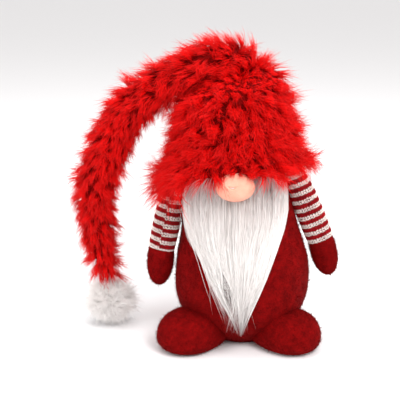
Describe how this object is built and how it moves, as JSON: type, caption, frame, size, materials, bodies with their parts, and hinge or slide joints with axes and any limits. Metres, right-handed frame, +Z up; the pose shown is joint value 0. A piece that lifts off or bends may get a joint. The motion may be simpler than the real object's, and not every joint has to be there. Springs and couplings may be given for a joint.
{
  "type": "gnome figurine",
  "caption": "Standing plush gnome with a felt sack body, knitted sleeves, long white beard and a tall fur hat whose wired tail hangs to a pompom.",
  "frame": {"origin": "centre of the base panel's resting face, on the surface it stands on", "axes": "+Z up, the gnome faces -Y, its own left arm at +X, the hat's tail at -X"},
  "size_m": [0.2796, 0.1577, 0.3139],
  "materials": {
    "red_felt": "brushed felt",
    "red_fur": "long pile",
    "white_fluff": "short fluffy pile",
    "white_hair": "straight silky hair",
    "nose_felt": "brushed felt",
    "striped_knit": "stocking stitch in red and white rows",
    "cotton_tape": "woven",
    "wadding": "loose fibre",
    "grey_card": "matt",
    "pellet_bag_cloth": "woven",
    "steel_wire": "drawn",
    "white_thread": "twisted"
  },
  "bodies": {
    "torso": {"body_front_panel": "red_felt", "body_back_panel": "red_felt", "body_base_panel": "red_felt", "base_board": "grey_card", "pellet_bag": "pellet_bag_cloth", "body_stuffing": "wadding", "foot_left_upper": "red_felt", "foot_left_sole": "red_felt", "foot_left_stuffing": "wadding", "foot_right_upper": "red_felt", "foot_right_sole": "red_felt", "foot_right_stuffing": "wadding", "beard_backing": "cotton_tape", "beard_hair": "white_hair", "nose_cover": "nose_felt", "nose_stuffing": "wadding", "hat_fur_crown": "red_fur", "hat_stuffing": "wadding", "hat_wire": "steel_wire"},
    "arm_left_hem": {"shoulder_hem_left": "cotton_tape"},
    "arm_left": {"sleeve_left": "striped_knit", "mitten_left": "red_felt", "arm_stuffing_left": "wadding"},
    "arm_right_hem": {"shoulder_hem_right": "cotton_tape"},
    "arm_right": {"sleeve_right": "striped_knit", "mitten_right": "red_felt", "arm_stuffing_right": "wadding"},
    "tail_1": {"tail_1_fur": "red_fur", "tail_1_stuffing": "wadding", "tail_1_wire": "steel_wire"},
    "tail_2": {"tail_2_fur": "red_fur", "tail_2_stuffing": "wadding", "tail_2_wire": "steel_wire"},
    "tail_3": {"tail_3_fur": "red_fur", "tail_3_stuffing": "wadding", "tail_3_wire": "steel_wire"},
    "tail_4": {"tail_4_fur": "red_fur", "tail_4_stuffing": "wadding", "tail_4_wire": "steel_wire"},
    "pompom": {"pompom_cover": "white_fluff", "pompom_core": "wadding", "pompom_tie": "white_thread"}
  },
  "joints": [
    {"name": "arm_left_swing", "type": "hinge", "parent": "torso", "child": "arm_left_hem", "pos_m": [0.0535, -0.008, 0.176], "axis": [-1, 0, 0], "range_deg": [-45, 90]},
    {"name": "arm_left_lift", "type": "hinge", "parent": "arm_left_hem", "child": "arm_left", "pos_m": [0.0535, -0.008, 0.176], "axis": [0, -1, 0], "range_deg": [0, 60]},
    {"name": "arm_right_swing", "type": "hinge", "parent": "torso", "child": "arm_right_hem", "pos_m": [-0.0695, -0.008, 0.17], "axis": [-1, 0, 0], "range_deg": [-45, 90]},
    {"name": "arm_right_lift", "type": "hinge", "parent": "arm_right_hem", "child": "arm_right", "pos_m": [-0.0695, -0.008, 0.17], "axis": [0, 1, 0], "range_deg": [0, 40]},
    {"name": "tail_turn", "type": "hinge", "parent": "torso", "child": "tail_1", "pos_m": [-0.0788, 0.0015, 0.27], "axis": [0, 0, 1], "range_deg": [-20, 20]},
    {"name": "tail_bend_upper", "type": "hinge", "parent": "tail_1", "child": "tail_2", "pos_m": [-0.1235, 0.0086, 0.2322], "axis": [0, 1, 0], "range_deg": [-3, 30]},
    {"name": "tail_bend_middle", "type": "hinge", "parent": "tail_2", "child": "tail_3", "pos_m": [-0.15, 0.016, 0.1751], "axis": [0, 1, 0], "range_deg": [-5, 30]},
    {"name": "tail_bend_lower", "type": "hinge", "parent": "tail_3", "child": "tail_4", "pos_m": [-0.1544, 0.0202, 0.1125], "axis": [0, 1, 0], "range_deg": [-8, 30]},
    {"name": "pompom_swing", "type": "hinge", "parent": "tail_4", "child": "pompom", "pos_m": [-0.1435, 0.022, 0.0535], "axis": [0, 1, 0], "range_deg": [-20, 20]}
  ]
}
